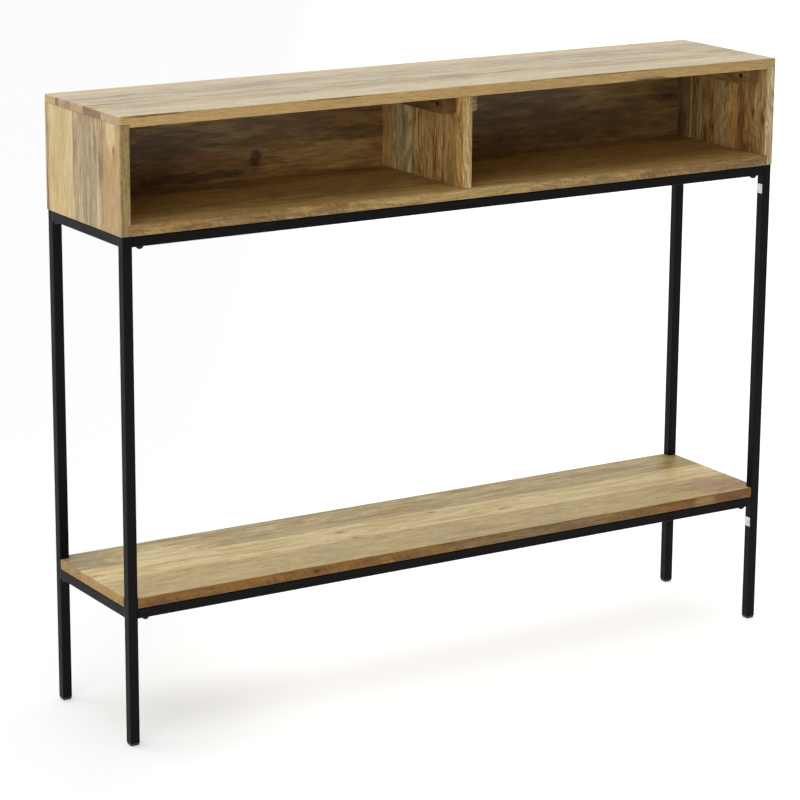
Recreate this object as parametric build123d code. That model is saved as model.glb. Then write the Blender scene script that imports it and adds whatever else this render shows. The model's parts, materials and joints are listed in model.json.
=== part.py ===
from build123d import *

import os

# Console table: a wooden box with two open niches, standing on a frame of square steel tube that also
# carries a shelf near the floor. Millimetres, +Z up. The origin is on the floor at the centre of the
# footprint. X runs along the table and -Y is its front, where the niches are open.

# Overall size
length = 1150.0
depth = 240.0
height = 925.0

# Wooden boards
board = 16.0  # thickness of every board but the back
back_board = 10.0  # thickness of the back panel
box_height = 170.0
shelf_top = 225.0
soft_edge = 2.0  # radius of the sanded edges
top_corner = 2.5  # radius of the top's upright corners
crisp_edge = 1.0  # radius where an edge meets another board
divider_setback = 1.0
housing = 4.5  # how deep the top takes the sides, and the sides take the bottom

# Battens under the top
cleat_width = 22.0
cleat_height = 28.0
cleat_front_setback = 23.0
cleat_back_gap = 8.0

# Steel frame
tube = 15.0
tube_wall = 1.2
tube_corner = 1.5
box_overhang = 2.0  # how far the box passes the frame at each end
rail_gap = 0.5  # visible joint between a bolted rail and a leg
stub_size = 12.0
stub_wall = 1.5
stub_corner = 0.8
stub_length = 28.0
notch_gap = 1.0  # between the shelf and a leg

# Bolts that hold a long rail to its stub and to the wood above it
bolt_from_leg = 15.0
bolt_radius = 3.0
bolt_length = 25.0
bolt_clearance = 0.3
head_radius = 5.5
head_height = 5.0
head_rim = 1.5
socket_across_flats = 4.0
socket_depth = 2.5
insert_outer = 4.5
insert_root = 4.0
insert_bore = 3.2
insert_length = 11.5
insert_recess = 0.5
insert_ribs = 4
insert_play = 0.1
bolt_end_room = 1.0

# Screws and dowels
screw_radius = 1.75
screw_head_radius = 3.5
screw_head_height = 2.2
screw_head_rim = 0.4
screw_point = 5.0
side_screw_length = 30.0
top_screw_length = 35.0
screw_play = 0.1  # radial room round a screw
side_screw_pitch = 74.0
first_side_screw = 16.0  # from the front end of a cleat
divider_screw_stagger = 15.0
top_screw_places = (-40.0, 38.0)
dowel_radius = 3.0
dowel_length = 28.0
dowel_in_face = 11.0  # part of a dowel in the face of a board, the rest is in the other board's edge
dowel_play = 0.1
dowel_end_room = 0.5
divider_dowel_rows = (-98.0, -38.0, 35.0)
back_dowel_columns = (-420.0, -140.0, 140.0, 420.0)

# Plastic feet
foot_height = 4.5
foot_corner = 3.4
foot_round = 3.0
foot_plug = 12.0
foot_plug_height = 12.0
foot_plug_wall = 1.6
foot_fin = 12.5
foot_fin_corner = 0.8
foot_fin_heights = (4.0, 8.0)
foot_fin_thickness = 0.8

# Welds of the side frames
weld_leg = 5.0
weld_hollow = 1.0
weld_length = 11.0
weld_filler_play = 0.05

# Paper labels inside the front right leg
label_width = 11.6
label_height = 15.0
label_thickness = 0.2
label_centres = (717.5, 166.0)

# Levels and planes that follow from the sizes above
box_base = height - box_height
top_underside = height - board
niche_floor = box_base + board
shelf_underside = shelf_top - board
top_rail_base = box_base - tube
lower_rail_base = shelf_underside - tube
half_length = length / 2
half_depth = depth / 2
side_inner = half_length - board
back_inner = half_depth - back_board
frame_end = half_length - box_overhang
leg_inner_x = frame_end - tube
leg_inner_y = half_depth - tube
leg_x = frame_end - tube / 2
leg_y = half_depth - tube / 2
bolt_x = leg_inner_x - bolt_from_leg
cleat_base = top_underside - cleat_height
cleat_front = -half_depth + cleat_front_setback
cleat_back = back_inner - cleat_back_gap
side_screw_level = top_underside - cleat_height / 2
sides = {"left": -1, "right": 1}
ends = {"front": -1, "back": 1}
dowel_turns = {"+x": Rot(0, 90, 0), "-x": Rot(0, -90, 0), "+z": Rot(0, 0, 0)}


def block(low, high):
    """A plain block between two opposite corners."""
    centre = [(a + b) / 2 for a, b in zip(low, high)]
    size = [abs(b - a) for a, b in zip(low, high)]
    return Pos(*centre) * Box(*size)


def upright_bar(radius, x, y, low, high):
    """A round bar that stands at x, y between two levels."""
    return Pos(x, y, (low + high) / 2) * Cylinder(radius, high - low)


def rising_bar(radius, reach):
    """A round bar that rises from the origin along +Z."""
    return Cylinder(radius, reach, align=(Align.CENTER, Align.CENTER, Align.MIN))


def edges_at(shape, **places):
    """The straight edges whose middle lies at every given coordinate, such as x=10, z=0."""
    tolerance = 0.01
    found = []
    for edge in shape.edges().filter_by(GeomType.LINE):
        middle = edge.center()
        position = {"x": middle.X, "y": middle.Y, "z": middle.Z}
        if all(abs(position[name] - value) < tolerance for name, value in places.items()):
            found.append(edge)
    return found


def square_tube(outer, wall, corner, reach):
    """A hollow square tube that rises from the origin along +Z."""
    inner = outer - 2 * wall
    inner_corner = max(corner - wall, 0.3)
    ring = RectangleRounded(outer, outer, corner) - RectangleRounded(inner, inner, inner_corner)
    return extrude(ring, amount=reach)


def dowel(start, direction):
    """A wooden dowel with chamfered ends that runs from start along +X, -X or +Z."""
    chamfer_size = 0.8
    bar = rising_bar(dowel_radius, dowel_length)
    bar = chamfer(bar.edges().filter_by(GeomType.CIRCLE), chamfer_size)
    return Pos(*start) * dowel_turns[direction] * bar


def dowels(places):
    """The dowels of one board, each a separate solid."""
    return Compound(children=[dowel(start, direction) for start, direction in places])


def dowel_hole(start, direction):
    """The hole for a dowel, a little wider and longer than the dowel itself."""
    bar = rising_bar(dowel_radius + dowel_play, dowel_length + 2 * dowel_end_room)
    return Pos(*start) * dowel_turns[direction] * Pos(0, 0, -dowel_end_room) * bar


def divider_dowel_places():
    """Where each dowel between the divider and the boards over and under it begins, with its direction."""
    low = niche_floor - dowel_in_face
    high = top_underside + dowel_in_face - dowel_length
    return [((0, y, z), "+z") for y in divider_dowel_rows for z in (high, low)]


def back_dowel_places():
    """Where each dowel between the back panel and the boards round it begins, with its direction."""
    middle_y = half_depth - back_board / 2
    low = niche_floor - dowel_in_face
    high = top_underside + dowel_in_face - dowel_length
    places = [((x, middle_y, z), "+z") for x in back_dowel_columns for z in (high, low)]
    deep = side_inner + dowel_in_face
    middle_z = (niche_floor + top_underside) / 2
    places.append(((-deep, middle_y, middle_z), "+x"))
    places.append(((deep, middle_y, middle_z), "-x"))
    return places


def bolt_places():
    """The centres of the four bolts of one level, seen from above."""
    return [(s * bolt_x, e * leg_y) for s in sides.values() for e in ends.values()]


def screw(reach):
    """A countersunk wood screw: the top of its head is at the origin and its point is down at -Z."""
    slot_width = 0.9
    slot_reach = 4.2
    slot_depth = 1.6
    outline = Polyline(
        (0, 0),
        (screw_head_radius, 0),
        (screw_head_radius, -screw_head_rim),
        (screw_radius, -screw_head_height),
        (screw_radius, screw_point - reach),
        (0, -reach),
        close=True,
    )
    body = revolve(Plane.XZ * make_face(outline), Axis.Z)
    for size in ((slot_reach, slot_width), (slot_width, slot_reach)):
        body -= Box(*size, 2 * slot_depth)
    return body


def screw_hole(reach):
    """The countersunk hole for a screw of this length."""
    head = screw_head_radius + 2 * screw_play
    shank = screw_radius + screw_play
    outline = Polyline(
        (0, screw_head_rim),
        (head, screw_head_rim),
        (head, -screw_head_rim - screw_play),
        (shank, -screw_head_height - 2 * screw_play),
        (shank, -reach - dowel_end_room),
        (0, -reach - dowel_end_room),
        close=True,
    )
    return revolve(Plane.XZ * make_face(outline), Axis.Z)


def cleat_list():
    """Each cleat's name, with the panel face that it touches and the side of the face that it is on."""
    divider_face = board / 2
    return {
        "left_panel_cleat": (-side_inner, 1),
        "divider_left_cleat": (-divider_face, -1),
        "divider_right_cleat": (divider_face, 1),
        "right_panel_cleat": (side_inner, -1),
    }


def side_screw_poses(name):
    """Where the screws that go sideways through one cleat sit, and how they are turned."""
    face, side = cleat_list()[name]
    start = cleat_front + first_side_screw
    if name == "divider_right_cleat":
        start += divider_screw_stagger
    places = [start + n * side_screw_pitch for n in range(3)]
    outer_face = face + side * cleat_width
    return [Pos(outer_face, y, side_screw_level) * Rot(0, side * 90, 0) for y in places]


def top_screw_poses(name):
    """Where the screws that go up through one cleat into the top sit."""
    face, side = cleat_list()[name]
    middle = face + side * cleat_width / 2
    return [Pos(middle, y, cleat_base) * Rot(180, 0, 0) for y in top_screw_places]


def drill_for_screws(shape, names):
    """Takes every screw hole of the named cleats out of a board or cleat."""
    for name in names:
        for pose in side_screw_poses(name):
            shape -= pose * screw_hole(side_screw_length)
        for pose in top_screw_poses(name):
            shape -= pose * screw_hole(top_screw_length)
    return shape


def drill_for_dowels(shape):
    """Takes every dowel hole that reaches a board out of it."""
    box = shape.bounding_box()
    for start, way in divider_dowel_places() + back_dowel_places():
        hole = dowel_hole(start, way)
        reach = hole.bounding_box()
        lows_meet = all(a < b for a, b in zip(tuple(reach.min), tuple(box.max)))
        highs_meet = all(a > b for a, b in zip(tuple(reach.max), tuple(box.min)))
        if lows_meet and highs_meet:
            shape -= hole
    return shape


def drill_for_inserts(shape, underside):
    """Takes the holes for the threaded inserts out of the underside of a board."""
    hole = rising_bar(insert_outer + insert_play, insert_recess + insert_length + bolt_end_room)
    for x, y in bolt_places():
        shape -= Pos(x, y, underside) * hole
    return shape


def top_panel():
    """The top board, which covers the side panels. It is cut out below for them."""
    shape = block((-half_length, -half_depth, top_underside), (half_length, half_depth, height))
    shape = fillet(shape.edges().filter_by(Axis.Z), top_corner)
    shape = fillet(shape.edges().filter_by_position(Axis.Z, height, height), soft_edge)
    shape = fillet(edges_at(shape, y=-half_depth, z=top_underside), crisp_edge)
    housed = top_underside + housing
    for s in sides.values():
        shape -= block((s * side_inner, -half_depth, top_underside), (s * half_length, half_depth, housed))
    shape = drill_for_dowels(shape)
    return drill_for_screws(shape, cleat_list())


def side_panel(side):
    """An end board of the box, with upright grain. Its foot is cut out for the bottom panel."""
    inner = side * side_inner
    outer = side * half_length
    housed = side * (side_inner + housing)
    shape = block((inner, -half_depth, box_base), (outer, half_depth, top_underside + housing))
    shape -= block((inner, -half_depth, box_base), (housed, half_depth, niche_floor))
    middle = (housed + outer) / 2
    soft = edges_at(shape, x=outer, y=-half_depth) + edges_at(shape, x=outer, y=half_depth)
    soft += edges_at(shape, x=outer, z=box_base)
    soft += edges_at(shape, x=middle, y=-half_depth, z=box_base)
    soft += edges_at(shape, x=middle, y=half_depth, z=box_base)
    soft += edges_at(shape, x=inner, y=-half_depth)
    shape = fillet(soft, soft_edge)
    shape = drill_for_dowels(shape)
    cleats = ["left_panel_cleat"] if side < 0 else ["right_panel_cleat"]
    return drill_for_screws(shape, cleats)


def box_bottom_panel():
    """The floor of the niches, let into the side panels at both ends."""
    end = side_inner + housing
    shape = block((-end, -half_depth, box_base), (end, half_depth, niche_floor))
    front = edges_at(shape, y=-half_depth, z=niche_floor) + edges_at(shape, y=-half_depth, z=box_base)
    rear = edges_at(shape, y=half_depth, z=box_base)
    shape = fillet(front + rear, soft_edge)
    shape = drill_for_dowels(shape)
    return drill_for_inserts(shape, box_base)


def back_panel():
    """The board that closes the niches at the back."""
    shape = block((-side_inner, back_inner, niche_floor), (side_inner, half_depth, top_underside))
    return drill_for_dowels(shape)


def centre_divider():
    """The upright board between the two niches."""
    face = board / 2
    front = -half_depth + divider_setback
    shape = block((-face, front, niche_floor), (face, back_inner, top_underside))
    shape = fillet(edges_at(shape, x=-face, y=front) + edges_at(shape, x=face, y=front), soft_edge)
    shape = drill_for_dowels(shape)
    return drill_for_screws(shape, ["divider_left_cleat", "divider_right_cleat"])


def cleat(name):
    """A batten in the corner under the top, with its lower front corner rounded off."""
    nose_round = 5.0
    face, side = cleat_list()[name]
    outer = face + side * cleat_width
    shape = block((face, cleat_front, cleat_base), (outer, cleat_back, top_underside))
    shape = fillet(edges_at(shape, y=cleat_front, z=cleat_base), nose_round)
    shape = fillet(edges_at(shape, x=outer, z=cleat_base), crisp_edge)
    return drill_for_screws(shape, [name])


def shelf_board():
    """The lower shelf, notched round the four legs."""
    shape = block((-frame_end, -half_depth, shelf_underside), (frame_end, half_depth, shelf_top))
    reach = tube + notch_gap
    for s in sides.values():
        for e in ends.values():
            corner = (s * frame_end, e * half_depth, shelf_underside)
            inner = (s * (frame_end - reach), e * (half_depth - reach), shelf_top)
            shape -= block(corner, inner)
    rims = []
    for level in (shelf_top, shelf_underside):
        rims += edges_at(shape, y=-half_depth, z=level) + edges_at(shape, y=half_depth, z=level)
        rims += edges_at(shape, x=-frame_end, z=level) + edges_at(shape, x=frame_end, z=level)
    shape = fillet(rims, soft_edge)
    return drill_for_inserts(shape, shelf_underside)


def leg(side, end):
    """A leg from its foot cap up to the underside of the box."""
    shape = square_tube(tube, tube_wall, tube_corner, box_base - foot_height)
    return Pos(side * leg_x, end * leg_y, foot_height) * shape


def side_rail(side, base):
    """A short rail, welded between the front and back legs of one side."""
    shape = Rot(-90, 0, 0) * square_tube(tube, tube_wall, tube_corner, 2 * leg_inner_y)
    return Pos(side * leg_x, -leg_inner_y, base + tube / 2) * shape


def long_rail(end, base):
    """A long rail that slips over a stub at each end, drilled for its two bolts."""
    start = -leg_inner_x + rail_gap
    shape = Rot(0, 90, 0) * square_tube(tube, tube_wall, tube_corner, -2 * start)
    shape = Pos(start, end * leg_y, base + tube / 2) * shape
    for s in sides.values():
        shape -= upright_bar(bolt_radius + bolt_clearance, s * bolt_x, end * leg_y, base, base + tube)
    return shape


def rail_stub(side, end, base):
    """A small tube, welded to a leg, that a long rail slips over."""
    shape = Rot(0, -side * 90, 0) * square_tube(stub_size, stub_wall, stub_corner, stub_length)
    shape = Pos(side * leg_inner_x, end * leg_y, base + tube / 2) * shape
    hole = upright_bar(bolt_radius + bolt_clearance, side * bolt_x, end * leg_y, base, base + tube)
    return shape - hole


def rail_stubs(side):
    """The four stubs of one side frame."""
    levels = (top_rail_base, lower_rail_base)
    return Compound(children=[rail_stub(side, e, base) for e in ends.values() for base in levels])


def corner_weld(side, end, base):
    """A hollow-faced weld in the corner below a short rail."""
    outline = Polyline((0, -weld_leg), (0, 0), (-weld_leg, 0))
    shift = weld_leg / 2 - weld_hollow * 0.7
    face_line = ThreePointArc((-weld_leg, 0), (-shift, -shift), (0, -weld_leg))
    bead = extrude(make_face(outline + face_line), amount=weld_length / 2, both=True)
    corner = (side * leg_x, end * leg_inner_y, base)
    return Plane(corner, x_dir=(0, end, 0), z_dir=(end, 0, 0)) * bead


def seam_weld(side, face, end, base):
    """The ground weld that fills the groove between a leg's rounded edge and the end of a short rail."""
    surface = side * leg_x + face * tube / 2
    low = (surface, end * leg_inner_y, base)
    high = (surface - face * tube_corner, end * (leg_inner_y + tube_corner), base + tube)
    radius = tube_corner + weld_filler_play
    return block(low, high) - upright_bar(radius, high[0], high[1], base, base + tube)


def side_frame_welds(side):
    """Every weld of one side frame."""
    beads = []
    for end in ends.values():
        for base in (top_rail_base, lower_rail_base):
            beads.append(corner_weld(side, end, base))
            beads += [seam_weld(side, face, end, base) for face in (-1, 1)]
    return Compound(children=beads)


def bolt():
    """A domed socket bolt: its head hangs below the origin and its shank rises along +Z."""
    point = 1.0
    shank = bolt_radius - 0.1
    dome_height = head_height - head_rim
    dome_radius = (head_radius**2 + dome_height**2) / (2 * dome_height)
    halfway = head_radius / 2
    dome_middle = (halfway, dome_radius - head_height - (dome_radius**2 - halfway**2) ** 0.5)
    side_line = Polyline(
        (0, -head_height),
        (0, bolt_length),
        (shank - point, bolt_length),
        (shank, bolt_length - point),
        (shank, 0),
        (head_radius, 0),
        (head_radius, -head_rim),
    )
    dome_line = ThreePointArc((head_radius, -head_rim), dome_middle, (0, -head_height))
    body = revolve(Plane.XZ * make_face(side_line + dome_line), Axis.Z)
    socket = extrude(RegularPolygon(socket_across_flats / 2, 6, major_radius=False), amount=socket_depth)
    return body - Pos(0, 0, -head_height) * socket


def bolts(base):
    """The four bolts under the long rails of one level."""
    return Compound(children=[Pos(x, y, base) * bolt() for x, y in bolt_places()])


def insert():
    """A threaded insert with coarse ribs outside, its mouth at the origin."""
    pitch = insert_length / insert_ribs
    sleeve = rising_bar(insert_root, insert_length)
    for n in range(insert_ribs):
        sleeve += Pos(0, 0, n * pitch) * rising_bar(insert_outer, pitch / 2)
    return sleeve - rising_bar(insert_bore, insert_length)


def inserts(underside):
    """The four inserts in the underside of a board."""
    level = underside + insert_recess
    return Compound(children=[Pos(x, y, level) * insert() for x, y in bolt_places()])


def foot(side, end):
    """A plastic cap under a leg, with a ribbed plug inside the tube."""
    pad = extrude(RectangleRounded(tube, tube, foot_corner), amount=foot_height)
    pad = fillet(pad.edges().filter_by_position(Axis.Z, 0, 0), foot_round)
    inner = foot_plug - 2 * foot_plug_wall
    plug = extrude(Rectangle(foot_plug, foot_plug) - Rectangle(inner, inner), amount=foot_plug_height)
    for level in foot_fin_heights:
        fin = RectangleRounded(foot_fin, foot_fin, foot_fin_corner) - Rectangle(inner, inner)
        plug += Pos(0, 0, level) * extrude(fin, amount=foot_fin_thickness)
    shape = pad + Pos(0, 0, foot_height) * plug
    return Pos(side * leg_x, end * leg_y, 0) * shape


def part_labels():
    """Two blank paper labels on the inner face of the front right leg."""
    inner_face = leg_inner_x
    labels = []
    for level in label_centres:
        low = (inner_face - label_thickness, -leg_y - label_width / 2, level - label_height / 2)
        high = (inner_face, -leg_y + label_width / 2, level + label_height / 2)
        labels.append(block(low, high))
    return Compound(children=labels)


def screw_group(poses_of, reach):
    """All the screws of one length, a separate solid for each."""
    return Compound(children=[pose * screw(reach) for name in cleat_list() for pose in poses_of(name)])


def all_parts():
    """Every piece of the table by name."""
    parts = {
        "top_panel": top_panel(),
        "box_bottom_panel": box_bottom_panel(),
        "back_panel": back_panel(),
        "centre_divider": centre_divider(),
        "shelf_board": shelf_board(),
        "box_bolts": bolts(top_rail_base),
        "shelf_bolts": bolts(lower_rail_base),
        "box_inserts": inserts(box_base),
        "shelf_inserts": inserts(shelf_underside),
        "cleat_side_screws": screw_group(side_screw_poses, side_screw_length),
        "cleat_top_screws": screw_group(top_screw_poses, top_screw_length),
        "part_labels": part_labels(),
        "divider_dowels": dowels(divider_dowel_places()),
        "back_panel_dowels": dowels(back_dowel_places()),
    }
    for name in cleat_list():
        parts[name] = cleat(name)
    for side_name, side in sides.items():
        parts[f"{side_name}_side_panel"] = side_panel(side)
        parts[f"{side_name}_top_rail"] = side_rail(side, top_rail_base)
        parts[f"{side_name}_lower_rail"] = side_rail(side, lower_rail_base)
        parts[f"{side_name}_rail_stubs"] = rail_stubs(side)
        parts[f"{side_name}_frame_welds"] = side_frame_welds(side)
        for end_name, end in ends.items():
            parts[f"{end_name}_{side_name}_leg"] = leg(side, end)
            parts[f"{end_name}_{side_name}_foot"] = foot(side, end)
    for end_name, end in ends.items():
        parts[f"{end_name}_top_rail"] = long_rail(end, top_rail_base)
        parts[f"{end_name}_lower_rail"] = long_rail(end, lower_rail_base)
    return parts


os.makedirs("parts", exist_ok=True)
for part_name, part_shape in all_parts().items():
    export_step(part_shape, f"parts/{part_name}.step")
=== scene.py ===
import json
import random
from math import pi, radians

import bpy
from mathutils import Matrix, Vector


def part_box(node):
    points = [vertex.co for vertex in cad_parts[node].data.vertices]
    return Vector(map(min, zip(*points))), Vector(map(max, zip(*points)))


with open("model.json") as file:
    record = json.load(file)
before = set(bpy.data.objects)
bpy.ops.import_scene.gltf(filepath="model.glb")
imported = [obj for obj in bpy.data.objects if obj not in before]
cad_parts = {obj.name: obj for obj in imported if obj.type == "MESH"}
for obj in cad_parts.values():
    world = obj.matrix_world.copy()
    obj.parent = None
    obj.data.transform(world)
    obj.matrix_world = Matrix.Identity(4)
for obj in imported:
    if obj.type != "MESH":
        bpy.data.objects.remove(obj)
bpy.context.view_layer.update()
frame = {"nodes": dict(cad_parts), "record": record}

# A console table: a wooden box with two open niches on a frame of black square tube, with a shelf near the
# floor. Metres, +Z up, +X along the table, -Y its open front. Wood sizes are given in millimetres.

MM = 0.001


# ---------------------------------------------------------------- camera, floor and light


def make_camera():
    """A long lens that looks down on the table from in front of its left end."""
    data = bpy.data.cameras.new("camera")
    data.sensor_width = 36.0
    data.lens = 137.9
    data.clip_end = 200.0
    data.dof.use_dof = False
    camera = bpy.data.objects.new("camera", data)
    place = (-2.4552, -3.8763, 1.6192)
    yaw, pitch, roll = radians(31.91), radians(14.66), radians(0.38)
    turn = Matrix.Rotation(-yaw, 4, "Z") @ Matrix.Rotation(pi / 2 - pitch, 4, "X")
    camera.matrix_world = Matrix.Translation(place) @ turn @ Matrix.Rotation(roll, 4, "Z")
    bpy.context.scene.collection.objects.link(camera)
    bpy.context.scene.camera = camera


def make_floor():
    """A plain pale floor: a wide disc that glows a little, less so at the camera's left. Its glow is painted
    light that lightens the shadows cast on it.
    """
    radius = 9.0
    sides = 96
    mesh = bpy.data.meshes.new("floor")
    ring = [Matrix.Rotation(2 * pi * n / sides, 3, "Z") @ Vector((radius, 0, 0)) for n in range(sides)]
    mesh.from_pydata([tuple(point) for point in ring], [], [tuple(range(sides))])
    floor = bpy.data.objects.new("floor", mesh)
    bpy.context.scene.collection.objects.link(floor)
    graph = Graph("glowing_floor")
    x, y, _ = graph.split(graph.place())
    right_x, right_y = 0.85, -0.53  # the camera's right, along the floor
    sideways = graph.math("MULTIPLY_ADD", x, right_x, graph.math("MULTIPLY", y, right_y))
    # painted light: the glow is weaker at the camera's left and stronger to the right, so the shadows on the
    # floor come out lighter there
    dim, bright = 0.41, 0.66
    glow = graph.ease(sideways, -0.49, -0.11, dim, bright)
    graph.set_shader(**{"Base Color": (0.5, 0.5, 0.5, 1), "Roughness": 0.9, "Specular IOR Level": 0.0})
    graph.set_shader(**{"Emission Color": (1, 1, 1, 1), "Emission Strength": glow})
    mesh.materials.append(graph.material)


def aim(place, target):
    """The placement of a lamp at one point that faces another."""
    direction = Vector(target) - Vector(place)
    return Matrix.Translation(place) @ direction.to_track_quat("-Z", "Y").to_matrix().to_4x4()


def make_overhead_light():
    """The broad overhead light, as a very soft sun that is even over the whole floor."""
    data = bpy.data.lights.new("overhead", "SUN")
    data.energy = 1.9
    data.angle = radians(70)
    lamp = bpy.data.objects.new("overhead", data)
    lamp.matrix_world = aim((-0.35, 0.1, 2.0), (0, 0, 0))
    bpy.context.scene.collection.objects.link(lamp)


def make_softbox():
    """A square softbox in front of the left end, low enough to light the cheeks of the niches."""
    data = bpy.data.lights.new("softbox", "AREA")
    data.size = 1.6
    data.energy = 36
    lamp = bpy.data.objects.new("softbox", data)
    lamp.matrix_world = aim((-2.7, -1.8, 1.25), (0, 0, 0.7))
    bpy.context.scene.collection.objects.link(lamp)


def make_surroundings():
    """White to the eye. To the object, a room with a white backdrop behind it and a dim side in front."""
    backdrop, front = 1.15, 0.15
    world = bpy.data.worlds.new("studio")
    bpy.context.scene.world = world
    world.use_nodes = True
    nodes, links = world.node_tree.nodes, world.node_tree.links
    background = nodes["Background"]
    direction = nodes.new("ShaderNodeTexCoord")
    split = nodes.new("ShaderNodeSeparateXYZ")
    links.new(direction.outputs["Generated"], split.inputs[0])
    spread = nodes.new("ShaderNodeMapRange")
    spread.interpolation_type = "SMOOTHSTEP"
    for socket, value in zip(spread.inputs[1:], (-0.35, 0.75, front, backdrop)):
        socket.default_value = value
    links.new(split.outputs["Y"], spread.inputs[0])
    path = nodes.new("ShaderNodeLightPath")
    strength = nodes.new("ShaderNodeMix")
    strength.inputs[3].default_value = 1.0
    links.new(path.outputs["Is Camera Ray"], strength.inputs[0])
    links.new(spread.outputs[0], strength.inputs[2])
    links.new(strength.outputs[0], background.inputs["Strength"])
    background.inputs["Color"].default_value = (1, 1, 1, 1)


# ---------------------------------------------------------------- shader nodes


def colour(text):
    """A colour such as "c8a878" as the linear numbers that a shader wants."""
    parts = [int(text[n:n + 2], 16) / 255 for n in (0, 2, 4)]
    linear = [p / 12.92 if p <= 0.04045 else ((p + 0.055) / 1.055) ** 2.4 for p in parts]
    return (*linear, 1.0)


class Graph:
    """The shader nodes of one material. Wherever a value is wanted, a socket or a plain value will do."""

    def __init__(self, name):
        self.material = bpy.data.materials.new(name)
        self.material.use_nodes = True
        self.nodes = self.material.node_tree.nodes
        self.links = self.material.node_tree.links
        self.shader = self.nodes["Principled BSDF"]

    def feed(self, socket, value):
        """Sets or links one input."""
        if isinstance(value, bpy.types.NodeSocket):
            self.links.new(value, socket)
        else:
            socket.default_value = value

    def set_shader(self, **values):
        """Sets or links inputs of the main shader by name."""
        for name, value in values.items():
            self.feed(self.shader.inputs[name], value)

    def node(self, kind, *values, **settings):
        """Adds a node with its settings and its first inputs."""
        node = self.nodes.new("ShaderNode" + kind)
        for name, value in settings.items():
            setattr(node, name, value)
        for socket, value in zip(node.inputs, values):
            self.feed(socket, value)
        return node

    def math(self, operation, *values, clamp=False):
        return self.node("Math", *values, operation=operation, use_clamp=clamp).outputs[0]

    def vector(self, operation, *values):
        return self.node("VectorMath", *values, operation=operation).outputs["Vector"]

    def length(self, vector):
        return self.node("VectorMath", vector, operation="LENGTH").outputs["Value"]

    def split(self, vector):
        return self.node("SeparateXYZ", vector).outputs

    def join(self, x, y, z):
        return self.node("CombineXYZ", x, y, z).outputs[0]

    def ease(self, value, start, end, low=0.0, high=1.0):
        """Goes smoothly from low to high as value goes from start to end."""
        node = self.node("MapRange", value, start, end, low, high, interpolation_type="SMOOTHSTEP")
        return node.outputs[0]

    def mix(self, amount, first, second, blend="MIX"):
        """Mixes two colours."""
        node = self.node("Mix", data_type="RGBA", blend_type=blend)
        self.feed(node.inputs[0], amount)
        self.feed(node.inputs[6], first)
        self.feed(node.inputs[7], second)
        return node.outputs[2]

    def shade(self, tint, pattern, start, end, amount, tone, blend="SOFT_LIGHT"):
        """Mixes a tone in, more and more as a pattern goes from start to end."""
        share = self.math("MULTIPLY", self.ease(pattern, start, end), amount)
        return self.mix(share, tint, tone, blend)

    def noise(self, vector, scale=1.0, detail=2.0, roughness=0.5):
        """A noise node: its outputs are "Fac" and "Color"."""
        node = self.node("TexNoise")
        self.feed(node.inputs["Vector"], vector)
        for name, value in (("Scale", scale), ("Detail", detail), ("Roughness", roughness)):
            node.inputs[name].default_value = value
        return node.outputs

    def steps(self, value, entries):
        """Holds one colour from each place on: entries are (place from 0 to 1, colour)."""
        node = self.node("ValToRGB", value)
        ramp = node.color_ramp
        ramp.interpolation = "CONSTANT"
        ramp.elements.remove(ramp.elements[1])
        ramp.elements[0].position = entries[0][0]
        ramp.elements[0].color = entries[0][1]
        for place, tint in entries[1:]:
            ramp.elements.new(place).color = tint
        return node.outputs["Color"]

    def place(self):
        """The place on the object in the row frame, in metres."""
        return self.node("TexCoord").outputs["Object"]

    def facing(self):
        """The direction that the surface faces, in the row frame."""
        return self.node("TexCoord").outputs["Normal"]

    def bump(self, height, depth, strength=1.0):
        """Feeds a height pattern, with its depth in metres, to the shader."""
        node = self.node("Bump")
        node.inputs["Strength"].default_value = strength
        node.inputs["Distance"].default_value = depth
        self.feed(node.inputs["Height"], height)
        self.feed(self.shader.inputs["Normal"], node.outputs[0])


# ---------------------------------------------------------------- wood

TONES = {
    "pale": colour("b2a27f"),
    "straw": colour("b49e6e"),
    "cream": colour("bca980"),
    "wheat": colour("c8b282"),
    "lemon": colour("b8a368"),
    "apricot": colour("c49d5b"),
    "honey": colour("b89458"),
    "gilt": colour("b6924f"),
    "tan": colour("ab8b52"),
    "gold": colour("a6814b"),
    "amber": colour("966c3e"),
    "russet": colour("855818"),
    "flax": colour("cfbb86"),
    "oat": colour("b99f63"),
    "sage": colour("af9c67"),
    "fawn": colour("987840"),
    "pink": colour("a98c62"),
    "olive": colour("998246"),
    "drab": colour("8d7842"),
    "slate": colour("968463"),
    "ash": colour("857552"),
    "umber": colour("725832"),
    "rust": colour("754a2b"),
    "brown": colour("5d4025"),
    "dark": colour("412c18"),
    "knot": colour("332212"),
}
WHITE = (1.0, 1.0, 1.0, 1.0)
MIDDLE = (0.5, 0.5, 0.5)  # the mean colour of a noise


def board_position(graph, node, axes):
    """Millimetres from the middle of a board: along its grain, across its staves and through it."""
    low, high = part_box(node)
    local = graph.vector("SUBTRACT", graph.place(), (low + high) / 2)
    scaled = graph.vector("MULTIPLY", local, (1 / MM, 1 / MM, 1 / MM))
    parts = dict(zip("xyz", graph.split(scaled)))
    return graph.join(*[parts[axis] for axis in axes])


def stretched(graph, position, along, across, shift=0.0):
    """The position in grain lengths along the board and grain widths across it."""
    moved = graph.vector("ADD", position, (shift, shift, shift))
    return graph.vector("MULTIPLY", moved, (1 / along, 1 / across, 1 / across))


def spot(graph, position, centre, reach, inner, outer, torn=(0, 0, 0)):
    """1 inside a soft ellipsoid round centre and 0 outside it. torn makes its outline ragged."""
    offset = graph.vector("SUBTRACT", position, centre)
    shrunk = graph.vector("ADD", graph.vector("DIVIDE", offset, reach), torn)
    return graph.ease(graph.length(shrunk), inner, outer, 1.0, 0.0)


def facing_share(graph, axis):
    """1 where the surface faces along an axis of the row frame."""
    share = graph.math("ABSOLUTE", graph.split(graph.facing())["xyz".index(axis)])
    return graph.ease(share, 0.6, 0.85)


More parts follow.
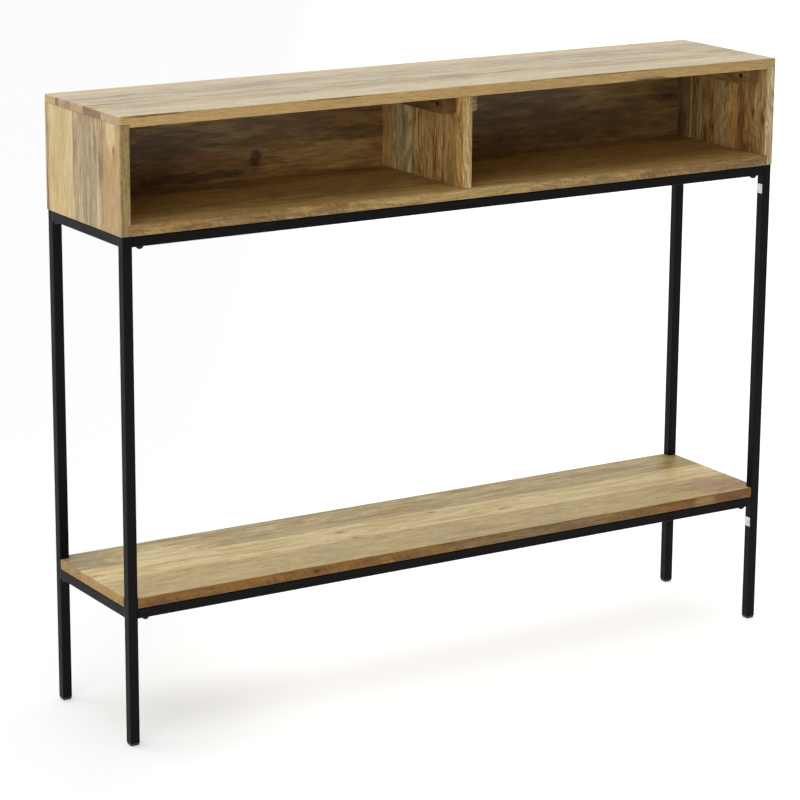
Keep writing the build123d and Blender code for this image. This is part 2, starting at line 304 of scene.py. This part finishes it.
def stave_lookup(graph, across, rows, column):
    """What one column of the stave rows says at a place across the board. The rows go from low to high."""
    low = rows[0][0]
    span = 400.0
    place = graph.math("DIVIDE", graph.math("SUBTRACT", across, low), span)
    return graph.steps(place, [((row[0] - low) / span, row[column]) for row in rows])


def warp(graph, own):
    """How far the grain wanders: a slow bend and a quicker ripple, in millimetres."""
    slow = graph.noise(stretched(graph, own, 150, 34), detail=1)["Color"]
    quick = graph.noise(stretched(graph, own, 38, 9), detail=3, roughness=0.6)["Color"]
    slow = graph.vector("MULTIPLY", graph.vector("SUBTRACT", slow, MIDDLE), (70, 26, 26))
    quick = graph.vector("MULTIPLY", graph.vector("SUBTRACT", quick, MIDDLE), (22, 7, 7))
    return graph.vector("ADD", slow, quick)


def raggedness(graph, own):
    """How far the outlines of patches and knots are torn, as a share of their size."""
    torn = graph.noise(stretched(graph, own, 26, 9, 43), detail=4, roughness=0.6)["Color"]
    return graph.vector("MULTIPLY", graph.vector("SUBTRACT", torn, MIDDLE), (1.8, 1.8, 1.8))


def grain(graph, position, along, across, shift=0.0, detail=2.0, roughness=0.5):
    """A noise from 0 to 1 that is stretched along the grain."""
    blobs = stretched(graph, position, along, across, shift)
    return graph.noise(blobs, detail=detail, roughness=roughness)["Fac"]


def growth_rings(graph, warped, shift, knots, ring, tilt):
    """The late wood of rings round a pith beside or below the board. The rings swell round the knots."""
    parts = graph.split(warped)
    draws = graph.split(shift)
    pith_across = graph.math("MULTIPLY_ADD", draws[0], 220.0, -110.0)
    pith_depth = graph.math("MULTIPLY_ADD", draws[1], 50.0, 22.0)
    lean = graph.math("MULTIPLY", parts[0], tilt)
    sideways = graph.math("SUBTRACT", parts[1], pith_across)
    down = graph.math("ADD", graph.math("ADD", parts[2], pith_depth), lean)
    radius = graph.length(graph.join(sideways, down, 0.0))
    for centre, reach, size in knots:
        swell = spot(graph, warped, centre, reach, 0.0, 1.6)
        radius = graph.math("ADD", radius, graph.math("MULTIPLY", swell, size * 4.0))
    phase = graph.math("FRACT", graph.math("DIVIDE", radius, ring))
    return graph.math("MULTIPLY", graph.ease(phase, 0.25, 0.9), graph.ease(phase, 0.92, 1.0, 1.0, 0.0))


def flame(graph, position):
    """Wandering lines that close round long islands, as where a board is cut along a bent trunk."""
    spacing = 0.055
    slow = grain(graph, position, 95, 11, 17, roughness=0.6)
    distance = graph.math("PINGPONG", slow, spacing)
    return graph.ease(distance, 0.0, spacing * 0.8, 1.0, 0.0)


def edge_marks(graph, position, slant):
    """Short slanting strokes, as on a long edge that is planed across its grain."""
    parts = graph.split(position)
    spacing, length = 2.6, 16
    leaning = graph.math("MULTIPLY_ADD", parts[2], slant, parts[0])
    leaning = graph.math("MULTIPLY_ADD", parts[1], slant, leaning)
    strokes = graph.join(
        graph.math("DIVIDE", leaning, spacing),
        graph.math("DIVIDE", parts[2], length),
        0.0,
    )
    return graph.ease(graph.noise(strokes, detail=3, roughness=0.6)["Fac"], 0.46, 0.66)


def board_staves(graph, across, staves, draw):
    """The stave at each place: its main, streak and end-grain tones, its figure and its place in the tree."""
    rows = []
    for start, *tones, figure in staves:
        grey = (figure, figure, figure, 1.0)
        place = (draw.random(), draw.random(), draw.random(), 1.0)
        rows.append((start, *[TONES[tone] for tone in tones], grey, place))
    return [stave_lookup(graph, across, rows, column) for column in range(1, 6)]


def lay_ground(graph, axes, own, own_warped, tones, edge):
    """The main tone with its streaks, the end grain and the long edges. Also gives where the ends are."""
    main, streak, end = tones
    broad = grain(graph, own_warped, 150, 14, 71, detail=5, roughness=0.62)
    tint = graph.mix(graph.ease(broad, 0.45, 0.6), main, streak)
    is_end = facing_share(graph, axes[0])
    tint = graph.mix(graph.math("MULTIPLY", is_end, 0.85), tint, end)
    if edge:
        tone, strength, stroke_strength, slant = edge
        is_edge = facing_share(graph, axes[1])
        tint = graph.mix(graph.math("MULTIPLY", is_edge, strength), tint, TONES[tone])
        strokes = graph.math("MULTIPLY", edge_marks(graph, own, slant), is_edge)
        tint = graph.mix(graph.math("MULTIPLY", strokes, stroke_strength), tint, TONES["brown"])
    return tint, is_end


def lay_patches(graph, tint, position, patches, torn):
    """Ragged patches of another tone."""
    for centre, reach, tone, strength in patches:
        mask = spot(graph, position, centre, reach, 0.5, 1.1, torn)
        tint = graph.mix(graph.math("MULTIPLY", mask, strength), tint, TONES[tone])
    return tint


def lay_rings(graph, tint, late_wood, uneven, own_warped, figure, is_end):
    """The growth rings and the flames, which come and go by turns over the board."""
    brown = TONES["brown"]
    ring_depth = graph.math("MULTIPLY_ADD", is_end, 0.2, graph.math("MULTIPLY", figure, 0.34))
    tint = graph.mix(graph.math("MULTIPLY", late_wood, ring_depth), tint, brown)
    lines = graph.math("MULTIPLY", flame(graph, own_warped), graph.ease(uneven, 0.65, 0.35))
    return graph.shade(tint, lines, 0.0, 1.0, graph.math("MULTIPLY", figure, 0.34), brown, "MIX")


def lay_figure(graph, tint, own_warped, figure):
    """Veins and mottling, each darker or lighter than the wood they lie in."""
    vein = grain(graph, own_warped, 60, 3.0, 17, detail=4, roughness=0.65)
    tint = graph.shade(tint, vein, 0.52, 0.74, graph.math("MULTIPLY", figure, 0.5), TONES["brown"], "MIX")
    tint = graph.shade(tint, vein, 0.46, 0.24, graph.math("MULTIPLY", figure, 0.45), WHITE)
    mottle = grain(graph, own_warped, 70, 11, 29, detail=4, roughness=0.6)
    tint = graph.shade(tint, mottle, 0.5, 0.72, graph.math("MULTIPLY", figure, 0.6), TONES["umber"])
    return graph.shade(tint, mottle, 0.5, 0.28, graph.math("MULTIPLY", figure, 0.35), WHITE)


def lay_fibres(graph, tint, fibre, pore):
    """Fine dark and light fibres, and the short dark pores between them."""
    tint = graph.shade(tint, fibre, 0.5, 0.72, 0.95, TONES["brown"])
    tint = graph.shade(tint, fibre, 0.5, 0.28, 0.65, WHITE)
    return graph.shade(tint, pore, 0.0, 1.0, 0.4, TONES["brown"], "MIX")


def lay_knots(graph, tint, position, knots, torn):
    """Dark knots, each in a reddish halo."""
    halo_size = 2.6
    for centre, reach, size in knots:
        small = tuple(size * part / reach[1] for part in reach)
        wide = tuple(halo_size * part for part in small)
        halo = spot(graph, position, centre, wide, 0.2, 1.0, torn)
        tint = graph.mix(graph.math("MULTIPLY", halo, 0.4), tint, TONES["rust"])
        heart = spot(graph, position, centre, small, 0.3, 1.1, torn)
        tint = graph.mix(graph.math("MULTIPLY", heart, 0.8), tint, TONES["knot"])
    return tint


def lay_glue_lines(graph, tint, across, staves):
    """A fine dark line between one stave and the next."""
    for start, *_ in staves[1:]:
        gap = graph.math("ABSOLUTE", graph.math("SUBTRACT", across, start))
        tint = graph.mix(graph.ease(gap, 0.2, 0.6, 0.35, 0.0), tint, TONES["dark"])
    return tint


def lay_joints(graph, tint, node, axis, along, is_end):
    """A dark line round both ends of a board, where they meet other boards."""
    low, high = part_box(node)
    half = (high - low)["xyz".index(axis)] / 2 / MM
    gap = graph.math("SUBTRACT", half, graph.math("ABSOLUTE", along))
    joint = graph.math("SUBTRACT", graph.ease(gap, 0.4, 1.2, 0.55, 0.0), is_end, clamp=True)
    return graph.mix(joint, tint, TONES["dark"])


def lacquer(graph, tint, own, late_wood, fibre, pore, gloss):
    """Feeds the tint to the shader, with a satin lacquer that has sunk a little into the pores."""
    shine = grain(graph, own, 60, 12)
    roughness = graph.ease(shine, 0.3, 0.7, 0.38, 0.5)
    roughness = graph.math("MULTIPLY_ADD", pore, 0.15, roughness)
    graph.set_shader(**{"Base Color": tint, "Roughness": roughness, "Specular IOR Level": gloss})
    height = graph.math("SUBTRACT", graph.math("MULTIPLY", fibre, 0.35), pore)
    height = graph.math("MULTIPLY_ADD", late_wood, -0.3, height)
    graph.bump(height, 0.12 * MM, 0.6)


def wood(
    name, node, axes, staves, knots=(), patches=(),
    ring=6.0, tilt=0.03, seed=1, edge=None, jointed=False, gloss=0.5,
):
    """A lacquered board glued from staves.

    Sizes and places are in millimetres from the middle of the board. axes are its directions along the grain,
    across the staves and through the board.
    staves: (start across the board, main tone, streak tone, end-grain tone, strength of the figure)
    knots: (centre, reach, size)
    patches: (centre, reach, tone, strength)
    edge: (tone, strength, strength of the strokes, slant of the strokes), for long edges that look different
    ring is the distance between growth rings, tilt is how they lean along the board, and jointed asks for the
    dark joints at its ends.
    """
    graph = Graph(name)
    position = board_position(graph, node, axes)
    along, across, _ = graph.split(position)
    *tones, figure, shift = board_staves(graph, across, staves, random.Random(seed))

    # Every stave is cut from another place in the tree.
    move = graph.vector("MULTIPLY", shift, (900, 500, 500))
    own = graph.vector("ADD", position, move)
    warped = graph.vector("ADD", position, warp(graph, own))
    own_warped = graph.vector("ADD", warped, move)
    torn = raggedness(graph, own)

    uneven = grain(graph, own, 90, 14, detail=1)
    late_wood = growth_rings(graph, warped, shift, knots, ring, tilt)
    late_wood = graph.math("MULTIPLY", late_wood, graph.ease(uneven, 0.3, 0.6))
    fibre = grain(graph, own, 30, 1.6, detail=5, roughness=0.8)
    pore = graph.ease(grain(graph, own, 9, 0.55, detail=1), 0.63, 0.73)

    tint, is_end = lay_ground(graph, axes, own, own_warped, tones, edge)
    tint = lay_patches(graph, tint, position, patches, torn)
    tint = lay_rings(graph, tint, late_wood, uneven, own_warped, figure, is_end)
    tint = lay_figure(graph, tint, own_warped, figure)
    tint = lay_fibres(graph, tint, fibre, pore)
    tint = lay_knots(graph, tint, position, knots, torn)
    tint = lay_glue_lines(graph, tint, across, staves)
    if jointed:
        tint = lay_joints(graph, tint, node, axes[0], along, is_end)
    lacquer(graph, tint, own, late_wood, fibre, pore, gloss)
    return graph.material


def top_wood():
    """Long pale bands, with a dark flaw low on the front edge."""
    return wood(
        "wood_top", "top_panel", "xyz", seed=11, tilt=0.02,
        edge=("gilt", 0.85, 0.1, 0.6),
        staves=[
            (-121, "pale", "cream", "pink", 0.2),
            (-62, "straw", "slate", "umber", 0.25),
            (-36, "straw", "ash", "rust", 0.25),
            (-8, "pale", "slate", "tan", 0.2),
            (34, "slate", "pale", "amber", 0.25),
            (49, "slate", "pale", "slate", 0.2),
            (60, "pale", "slate", "tan", 0.2),
            (72, "straw", "pale", "rust", 0.2),
            (83, "cream", "straw", "honey", 0.2),
        ],
        knots=[((325, -121, -8), (40, 14, 14), 5)],
        patches=[
            ((-60, -32, 8), (150, 20, 30), "ash", 0.5),
            ((330, -121, -9), (60, 6, 5), "dark", 0.8),
            ((-510, -120, 8), (70, 3, 3.4), "rust", 0.9),
            ((-240, -120, 8), (70, 2.4, 2.8), "umber", 0.8),
            ((250, -120, 8), (170, 2.2, 2.4), "umber", 0.7),
        ],
    )


def left_side_wood():
    """Upright staves in tan, grey, yellow and pink, with patches of rust and yellow."""
    return wood(
        "wood_left_side", "left_side_panel", "zyx", seed=5, tilt=0.1, ring=6, jointed=True,
        edge=("drab", 0.8, 0.5, 0.9),
        staves=[
            (-121, "tan", "pink", "pink", 0.6),
            (-67, "slate", "straw", "umber", 1.2),
            (28, "wheat", "straw", "tan", 0.4),
            (40, "lemon", "wheat", "tan", 0.3),
            (108, "pink", "rust", "brown", 0.6),
        ],
        knots=[((41, -100, -8), (34, 16, 30), 2.5)],
        patches=[
            ((66, -92, -8), (34, 24, 30), "wheat", 0.8),
            ((-35, 78, -8), (60, 34, 30), "honey", 0.5),
            ((38, -44, -8), (34, 5, 30), "rust", 0.6),
            ((8, -58, -8), (30, 5, 30), "rust", 0.7),
            ((62, -50, -8), (26, 12, 30), "honey", 0.6),
            ((-40, -52, -8), (40, 9, 30), "wheat", 0.5),
        ],
    )


def right_side_wood():
    """Upright staves in warm tones, the back one greyer."""
    return wood(
        "wood_right_side", "right_side_panel", "zyx", seed=8, tilt=0.12, ring=6, jointed=True,
        edge=("wheat", 0.8, 0.15, 0.5),
        staves=[
            (-121, "tan", "amber", "tan", 1.8),
            (-46, "apricot", "honey", "tan", 1.3),
            (-22, "straw", "honey", "tan", 1.9),
            (12, "honey", "amber", "tan", 1.8),
            (45, "honey", "slate", "tan", 1.9),
            (70, "apricot", "honey", "tan", 1.2),
            (77, "ash", "umber", "brown", 1.6),
        ],
        knots=[((1, -88, -8), (46, 20, 30), 3.5), ((-37, 16, -8), (14, 6, 30), 3)],
        patches=[
            ((-5, -58, -8), (60, 7, 30), "brown", 0.45),
            ((0, -116, 0), (110, 14, 12), "wheat", 0.6),
        ],
    )


def box_bottom_wood():
    """A warm floor with painted light deep in the niches, and a front edge of many tones under slanting
    strokes.
    """
    return wood(
        "wood_box_bottom", "box_bottom_panel", "xyz", seed=21, tilt=0.03, jointed=True, gloss=0.3,
        edge=("fawn", 0.65, 0.7, 0.8),
        staves=[
            (-121, "apricot", "straw", "tan", 0.8),
            (-80, "apricot", "tan", "tan", 1.0),
            (-5, "apricot", "honey", "brown", 1.0),
            (62, "tan", "amber", "brown", 1.0),
        ],
        patches=[
            ((-390, -121, 0), (200, 8, 14), "umber", 0.5),
            ((0, -121, 0), (210, 8, 14), "oat", 0.6),
            ((250, -121, 0), (30, 8, 10), "ash", 0.7),
            ((340, -121, 0), (34, 8, 10), "rust", 0.5),
            ((480, -121, 0), (120, 8, 14), "umber", 0.6),
            # painted light: these two apricot patches lighten and warm the floor deep in the niches, the left
            # one beside the divider
            ((340, 10, 8), (250, 100, 20), "apricot", 0.9),
            ((-130, 30, 8), (130, 70, 20), "apricot", 0.5),
        ],
    )


def back_wood():
    """A golden stave with dark stretches, below two brown ones."""
    return wood(
        "wood_back", "back_panel", "xzy", seed=33, tilt=0.04, ring=8,
        staves=[
            (-70, "gold", "amber", "brown", 1.0),
            (-24, "umber", "fawn", "brown", 0.9),
            (32, "umber", "fawn", "brown", 0.9),
        ],
        knots=[((538, -3, -5), (22, 8, 30), 6)],
        patches=[
            ((-515, -44, -8), (80, 26, 30), "umber", 0.9),
            # painted light: this tan patch lightens the shaded far left end of the back
            ((-515, 20, -8), (60, 60, 30), "tan", 0.5),
            ((-350, -34, -8), (110, 16, 30), "amber", 0.8),
            ((-360, -58, -8), (150, 10, 30), "brown", 0.8),
            ((-110, -42, -8), (110, 26, 30), "honey", 0.9),
            ((-232, -38, -8), (12, 15, 30), "dark", 0.85),
            ((90, -44, -8), (80, 20, 30), "honey", 0.9),
            ((360, -35, -8), (190, 36, 30), "umber", 0.8),
            # painted light: this rust patch warms the back beside the divider, as warm light bounced off it
            ((-120, 20, -8), (110, 30, 30), "rust", 0.5),
        ],
    )


def divider_wood():
    """Upright staves in warm tones, one of them pale."""
    return wood(
        "wood_divider", "centre_divider", "zyx", seed=14, tilt=0.1, ring=6, jointed=True,
        edge=("oat", 0.7, 0.15, 0.5),
        staves=[
            (-121, "apricot", "tan", "tan", 1.5),
            (-76, "honey", "gold", "tan", 1.9),
            (-30, "apricot", "straw", "tan", 2.0),
            (29, "flax", "straw", "tan", 1.6),
            (86, "apricot", "honey", "tan", 1.3),
        ],
        knots=[((32, -100, -8), (22, 10, 30), 3)],
        patches=[((10, -86, -8), (50, 12, 30), "amber", 0.45)],
    )


def shelf_wood():
    """Three long staves with small knots, and a russet front edge."""
    return wood(
        "wood_shelf", "shelf_board", "xyz", seed=42, tilt=0.05, gloss=0.25,
        edge=("russet", 0.9, 0.8, 0.9),
        staves=[
            (-121, "oat", "sage", "fawn", 0.7),
            (-33, "flax", "oat", "fawn", 0.4),
            (37, "sage", "olive", "fawn", 0.8),
        ],
        knots=[
            ((34, 29, 8), (22, 9, 14), 3),
            ((-145, 8, 8), (26, 10, 14), 4),
            ((-137, -26, 8), (20, 8, 14), 3),
            ((141, -13, 8), (26, 9, 14), 2.5),
            ((-564, 3, 5), (16, 8, 10), 4),
            ((-262, -120, 0), (30, 12, 12), 4),
        ],
        patches=[
            ((520, -75, 8), (90, 44, 14), "amber", 0.75),
            ((545, -100, 8), (60, 26, 14), "rust", 0.2),
            ((60, -85, 8), (90, 16, 14), "drab", 0.4),
            ((470, -31, 8), (100, 2.5, 14), "brown", 0.4),
            ((-430, 55, 8), (90, 34, 14), "flax", 0.9),
            ((-545, 84, 8), (60, 44, 14), "ash", 0.7),
            ((150, -121, 0), (230, 8, 14), "ash", 0.6),
            ((463, -121, 0), (26, 8, 14), "gold", 0.8),
            ((530, -121, 0), (60, 6, 14), "rust", 0.6),
        ],
    )


def cleat_woods():
    """The battens under the top, each from other wood. The left panel's batten is made dark as painted shade,
    for the shaded top corner of the left niche.
    """
    tones = {
        # painted shade: the left panel's batten is dark for the shade in the top corner of the left niche
        "left_panel_cleat": ("dark", "dark"),
        "divider_left_cleat": ("brown", "brown"),
        "divider_right_cleat": ("tan", "slate"),
        "right_panel_cleat": ("amber", "umber"),
    }
    first_seed = 60
    woods = {}
    for seed, (node, (main, end)) in enumerate(tones.items(), first_seed):
        staves = [(-20, main, "umber", end, 0.9)]
        woods[node] = wood(f"wood_{node}", node, "yzx", staves, seed=seed, tilt=0.05, ring=5, gloss=0.2)
    return woods


def dowel_woods():
    """Plain pale dowels."""
    staves = [(-200, "straw", "tan", "tan", 0.5)]
    nodes = ("divider_dowels", "back_panel_dowels")
    return {node: wood(f"wood_{node}", node, "xyz", staves, seed=80, ring=3) for node in nodes}


def make_wood():
    """The material of every wooden node."""
    boards = {
        "top_panel": top_wood(),
        "left_side_panel": left_side_wood(),
        "right_side_panel": right_side_wood(),
        "box_bottom_panel": box_bottom_wood(),
        "back_panel": back_wood(),
        "centre_divider": divider_wood(),
        "shelf_board": shelf_wood(),
    }
    return {**boards, **cleat_woods(), **dowel_woods()}


# ---------------------------------------------------------------- metal, plastic and paper


def powder_coat():
    """Satin black powder coat with its fine orange peel."""
    graph = Graph("powder_coat")
    place = graph.place()
    peel = graph.noise(place, 900, 2)["Fac"]
    cloud = graph.noise(place, 14, 3)["Fac"]
    tint = graph.mix(graph.ease(cloud, 0.3, 0.7), colour("050605"), colour("0a0b0a"))
    dust = graph.ease(graph.noise(place, 2400, 1)["Fac"], 0.66, 0.74, 0.0, 0.3)
    tint = graph.mix(dust, tint, colour("20221e"))
    roughness = graph.ease(cloud, 0.3, 0.7, 0.42, 0.52)
    graph.set_shader(**{"Base Color": tint, "Roughness": roughness, "Specular IOR Level": 0.1})
    graph.bump(peel, 0.08 * MM, 0.5)
    return graph.material


def weld_coat():
    """The same coat over the small ripples of a weld."""
    graph = Graph("weld_coat")
    place = graph.place()
    ripple = graph.noise(graph.vector("MULTIPLY", place, (1400, 500, 500)), 1.0, 2)["Fac"]
    tint = graph.mix(graph.ease(ripple, 0.3, 0.7), colour("171816"), colour("232422"))
    graph.set_shader(**{"Base Color": tint, "Roughness": graph.ease(ripple, 0.3, 0.7, 0.4, 0.55)})
    graph.bump(ripple, 0.25 * MM, 0.7)
    return graph.material


def metal(name, dark, light, rough):
    """Plain steel with fine drawn lines and dull spots."""
    graph = Graph(name)
    place = graph.place()
    lines = graph.noise(graph.vector("MULTIPLY", place, (2500, 2500, 300)), 1.0, 2)["Fac"]
    spots = graph.noise(place, 700, 3)["Fac"]
    tint = graph.mix(graph.ease(spots, 0.35, 0.65), colour(dark), colour(light))
    roughness = graph.math("ADD", graph.ease(lines, 0.3, 0.7, 0.0, 0.14), rough)
    graph.set_shader(**{"Base Color": tint, "Roughness": roughness, "Metallic": 1.0})
    graph.bump(lines, 0.03 * MM, 0.5)
    return graph.material


def moulded_plastic():
    """Smooth black plastic with a faint moulding grain."""
    graph = Graph("moulded_plastic")
    place = graph.place()
    stipple = graph.noise(place, 1800, 2)["Fac"]
    flow = graph.noise(place, 120, 2)["Fac"]
    tint = graph.mix(graph.ease(flow, 0.3, 0.7), colour("111211"), colour("1b1c1b"))
    graph.set_shader(**{"Base Color": tint, "Roughness": graph.ease(flow, 0.3, 0.7, 0.22, 0.34)})
    graph.bump(stipple, 0.03 * MM, 0.4)
    return graph.material


def label_paper():
    """Blank white sticker paper."""
    graph = Graph("label_paper")
    place = graph.place()
    fibre = graph.noise(place, 1500, 4, 0.7)["Fac"]
    smudge = graph.noise(place, 160, 2)["Fac"]
    tint = graph.mix(graph.ease(smudge, 0.35, 0.75), colour("e9e9e6"), colour("cfcfca"))
    graph.set_shader(**{"Base Color": tint, "Roughness": graph.ease(fibre, 0.3, 0.7, 0.55, 0.7)})
    graph.bump(fibre, 0.02 * MM, 0.5)
    return graph.material


def hardware_materials():
    """The material for each of the record's slots that isn't wood."""
    return {
        "frame_steel": powder_coat(),
        "bolt_steel": metal("black_bolt", "17171a", "26262a", 0.34),
        "screw_steel": metal("dull_screw", "3a352c", "57503f", 0.42),
        "insert_steel": metal("zinc_insert", "9a9a94", "bdbdb6", 0.34),
        "foot_plastic": moulded_plastic(),
        "label_paper": label_paper(),
    }


def dress_nodes():
    """Gives every CAD node its material."""
    slots = {part["node"]: part["material_slot"] for part in frame["record"]["subparts"]}
    boards = make_wood()
    hardware = hardware_materials()
    welds = weld_coat()
    for name, obj in frame["nodes"].items():
        material = boards.get(name) or hardware[slots[name]]
        if name.endswith("_welds"):
            material = welds
        obj.data.materials.clear()
        obj.data.materials.append(material)


# ---------------------------------------------------------------- the scene

make_camera()
make_floor()
make_overhead_light()
make_softbox()
make_surroundings()
dress_nodes()
bpy.context.scene.view_settings.view_transform = "Standard"
bpy.context.view_layer.update()
